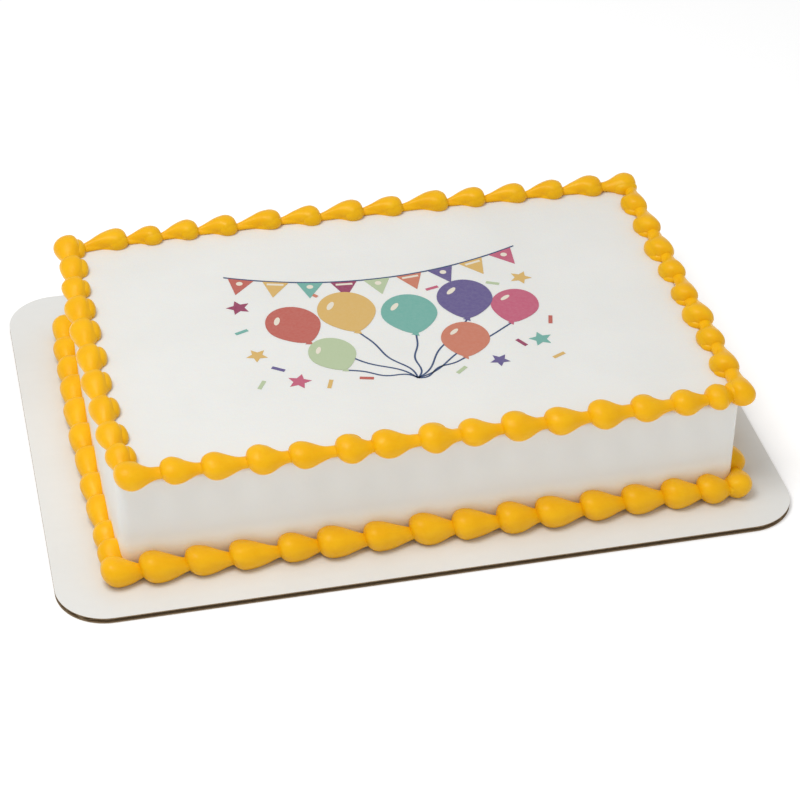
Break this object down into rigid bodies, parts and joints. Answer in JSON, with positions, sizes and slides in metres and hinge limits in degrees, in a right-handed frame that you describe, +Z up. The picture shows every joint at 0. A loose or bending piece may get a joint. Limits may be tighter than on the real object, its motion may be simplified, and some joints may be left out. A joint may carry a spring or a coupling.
{
  "type": "birthday sheet cake",
  "caption": "Rectangular iced birthday sheet cake on a white corrugated board, with yellow piped shell borders round its top edge and its foot and a printed party picture on top.",
  "frame": {"origin": "middle of the board's underside, on the surface that it stands on", "axes": "+X to the right along the long front side, +Y to the back, +Z up"},
  "size_m": [0.3556, 0.264, 0.0653],
  "materials": {
    "white_card": "smooth white-faced card with bare brown corrugated edges",
    "white_icing": "soft satin buttercream, smoothed flat by a scraper",
    "yellow_icing": "soft satin buttercream, piped",
    "printed_icing": "soft muted food colours printed on icing"
  },
  "bodies": {
    "root": {"board": "white_card", "cake": "white_icing", "top_border": "yellow_icing", "base_border": "yellow_icing"}
  },
  "joints": []
}
